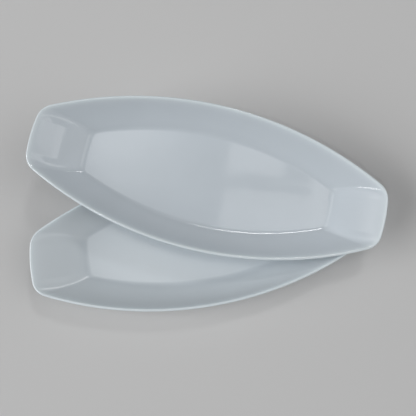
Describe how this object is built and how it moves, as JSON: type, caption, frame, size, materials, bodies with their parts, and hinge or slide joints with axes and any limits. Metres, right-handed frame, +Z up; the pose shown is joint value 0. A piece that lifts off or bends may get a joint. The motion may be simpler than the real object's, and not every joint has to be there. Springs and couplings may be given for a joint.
{
  "type": "platter",
  "caption": "Boat-shaped white glazed serving platter with a flat well, coved sides and sloping ends, lying askew on another of the same shape and lifting off it.",
  "frame": {"origin": "middle of the footprint of the pair, on the surface that the lower platter's foot ring stands on", "axes": "+X along the lower platter's long axis, +Y towards the side where the upper platter overhangs, +Z up"},
  "size_m": [0.362, 0.22, 0.0673],
  "materials": {
    "lower_glaze": "glossy white glaze",
    "upper_glaze": "glossy white glaze"
  },
  "bodies": {
    "lower": {"lower_platter": "lower_glaze"},
    "upper": {"upper_platter": "upper_glaze"}
  },
  "joints": [
    {"name": "upper_lift", "type": "slide", "parent": "lower", "child": "upper", "axis": [0, 0, 1], "range_m": [0, 0.15]}
  ]
}
